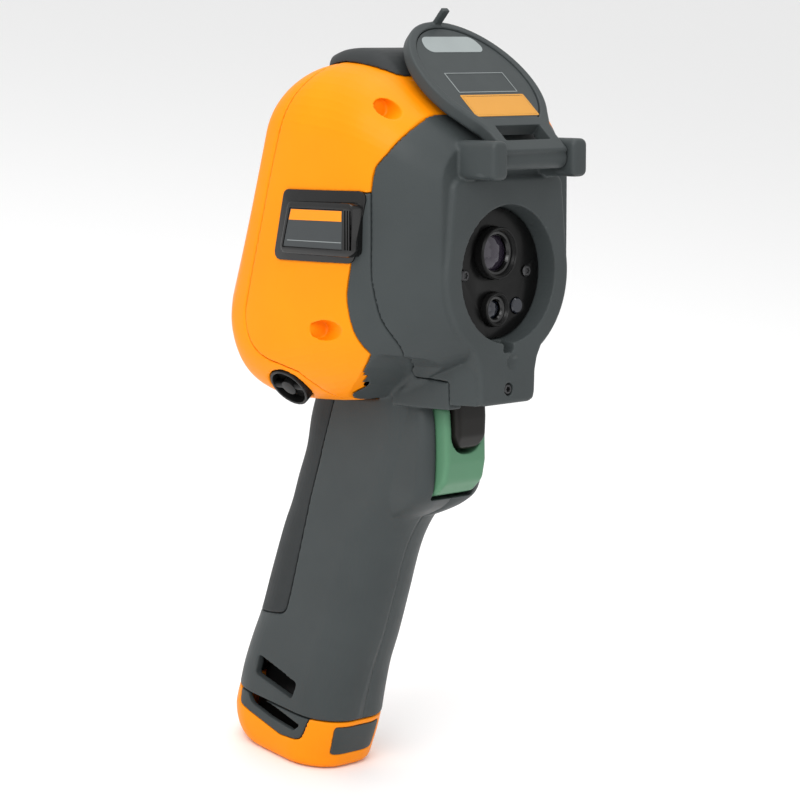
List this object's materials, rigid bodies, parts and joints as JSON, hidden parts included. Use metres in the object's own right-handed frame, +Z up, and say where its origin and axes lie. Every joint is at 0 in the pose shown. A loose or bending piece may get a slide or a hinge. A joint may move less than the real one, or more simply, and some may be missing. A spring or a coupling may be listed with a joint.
{
  "type": "thermal imaging camera",
  "caption": "Pistol-grip handheld thermal camera with a hinged lens cover, leaning rear display and keys, stacked triggers and a battery that slides out of the handle.",
  "frame": {"origin": "centre of the outer box on the plane that the battery base stands on", "axes": "+Z up, -Y towards the scene that the lens looks at, +X to the right seen from the display; the lens axis rises 10 degrees towards -Y"},
  "size_m": [0.1048, 0.1085, 0.2855],
  "materials": {
    "yellow_shell": "moulded, light grain",
    "grey_shell": "moulded, fine grain",
    "dark_rubber": "soft overmould",
    "black_plastic": "satin",
    "gloss_black": "gloss",
    "green_trigger": "satin",
    "steel": "machined",
    "cell_foil": "wrapped cell",
    "lens_glass": "coated",
    "board": "solder mask"
  },
  "bodies": {
    "camera": {"badge_bezel_left": "gloss_black", "badge_bezel_right": "gloss_black", "badge_plate_left": "grey_shell", "badge_plate_right": "grey_shell", "camera_barrel": "black_plastic", "camera_lens": "lens_glass", "camera_module": "board", "chin_screw": "steel", "cover_pin": "steel", "detector_module": "black_plastic", "display_gasket": "dark_rubber", "display_module": "black_plastic", "display_window": "lens_glass", "front_housing": "grey_shell", "grip_pad": "dark_rubber", "handle_contacts": "black_plastic", "handle_left": "grey_shell", "handle_right": "grey_shell", "ir_lens": "lens_glass", "ir_lens_barrel": "black_plastic", "keypad_membrane": "dark_rubber", "lens_plate": "gloss_black", "main_board": "board", "main_trigger_pin": "steel", "memory_card": "black_plastic", "optics_carrier": "black_plastic", "plate_screw_left": "steel", "plate_screw_right": "steel", "pointer_window": "lens_glass", "port_block": "black_plastic", "processor_shield": "steel", "rear_bezel": "yellow_shell", "side_shell": "yellow_shell", "speaker": "black_plastic", "strap_anchor_left": "dark_rubber", "strap_anchor_right": "dark_rubber", "trigger_spring": "steel", "trigger_switch": "black_plastic", "upper_trigger_pin": "steel"},
    "cover": {"lens_cover": "grey_shell", "cover_panel": "dark_rubber"},
    "port_cover": {"port_cover": "dark_rubber"},
    "main_trigger": {"main_trigger": "green_trigger"},
    "upper_trigger": {"upper_trigger": "black_plastic"},
    "battery": {"battery_cap": "yellow_shell", "battery_front_panel": "grey_shell", "battery_sleeve": "black_plastic", "battery_cells": "cell_foil", "battery_contacts": "black_plastic"},
    "latch_left": {"battery_latch_left": "grey_shell"},
    "latch_right": {"battery_latch_right": "grey_shell"},
    "key_down": {"key_down": "dark_rubber"},
    "key_gallery": {"key_gallery": "dark_rubber"},
    "key_left": {"key_left": "dark_rubber"},
    "key_left_soft": {"key_left_soft": "dark_rubber"},
    "key_middle_soft": {"key_middle_soft": "dark_rubber"},
    "key_power": {"key_power": "dark_rubber"},
    "key_right": {"key_right": "dark_rubber"},
    "key_right_soft": {"key_right_soft": "dark_rubber"},
    "key_up": {"key_up": "dark_rubber"}
  },
  "joints": [
    {"name": "cover_hinge", "type": "hinge", "parent": "camera", "child": "cover", "pos_m": [0, -0.04703, 0.24105], "axis": [1, 0, 0], "range_deg": [0, 227]},
    {"name": "port_cover_hinge", "type": "hinge", "parent": "camera", "child": "port_cover", "pos_m": [0, -0.00688, 0.26139], "axis": [1, 0, 0], "range_deg": [0, 12]},
    {"name": "main_trigger_pull", "type": "hinge", "parent": "camera", "child": "main_trigger", "pos_m": [0, -0.0196, 0.1501], "axis": [1, 0, 0], "range_deg": [0, 7], "stiffness_Nm_per_rad": 0.3, "springref_deg": -6.88, "deforming": ["trigger_spring"]},
    {"name": "upper_trigger_pull", "type": "hinge", "parent": "camera", "child": "upper_trigger", "pos_m": [0, -0.02921, 0.15322], "axis": [1, 0, 0], "range_deg": [0, 8], "stiffness_Nm_per_rad": 0.2, "springref_deg": -6.88},
    {"name": "battery_slide", "type": "slide", "parent": "camera", "child": "battery", "axis": [0, 0.1822, -0.9833], "range_m": [0, 0.078]},
    {"name": "latch_left_press", "type": "slide", "parent": "battery", "child": "latch_left", "axis": [1, 0, 0], "range_m": [0, 0.0015], "stiffness_N_per_m": 600, "springref_m": -0.001},
    {"name": "latch_right_press", "type": "slide", "parent": "battery", "child": "latch_right", "axis": [-1, 0, 0], "range_m": [0, 0.0015], "stiffness_N_per_m": 600, "springref_m": -0.001},
    {"name": "key_down_press", "type": "slide", "parent": "camera", "child": "key_down", "axis": [0, -0.9899, -0.1421], "range_m": [0, 0.0008], "stiffness_N_per_m": 800, "springref_m": -0.0005},
    {"name": "key_gallery_press", "type": "slide", "parent": "camera", "child": "key_gallery", "axis": [0, -0.9899, -0.1421], "range_m": [0, 0.0008], "stiffness_N_per_m": 800, "springref_m": -0.0005},
    {"name": "key_left_press", "type": "slide", "parent": "camera", "child": "key_left", "axis": [0, -0.9899, -0.1421], "range_m": [0, 0.0008], "stiffness_N_per_m": 800, "springref_m": -0.0005},
    {"name": "key_left_soft_press", "type": "slide", "parent": "camera", "child": "key_left_soft", "axis": [0, -0.9899, -0.1421], "range_m": [0, 0.0008], "stiffness_N_per_m": 800, "springref_m": -0.0005},
    {"name": "key_middle_soft_press", "type": "slide", "parent": "camera", "child": "key_middle_soft", "axis": [0, -0.9899, -0.1421], "range_m": [0, 0.0008], "stiffness_N_per_m": 800, "springref_m": -0.0005},
    {"name": "key_power_press", "type": "slide", "parent": "camera", "child": "key_power", "axis": [0, -0.9899, -0.1421], "range_m": [0, 0.0008], "stiffness_N_per_m": 800, "springref_m": -0.0005},
    {"name": "key_right_press", "type": "slide", "parent": "camera", "child": "key_right", "axis": [0, -0.9899, -0.1421], "range_m": [0, 0.0008], "stiffness_N_per_m": 800, "springref_m": -0.0005},
    {"name": "key_right_soft_press", "type": "slide", "parent": "camera", "child": "key_right_soft", "axis": [0, -0.9899, -0.1421], "range_m": [0, 0.0008], "stiffness_N_per_m": 800, "springref_m": -0.0005},
    {"name": "key_up_press", "type": "slide", "parent": "camera", "child": "key_up", "axis": [0, -0.9899, -0.1421], "range_m": [0, 0.0008], "stiffness_N_per_m": 800, "springref_m": -0.0005}
  ]
}
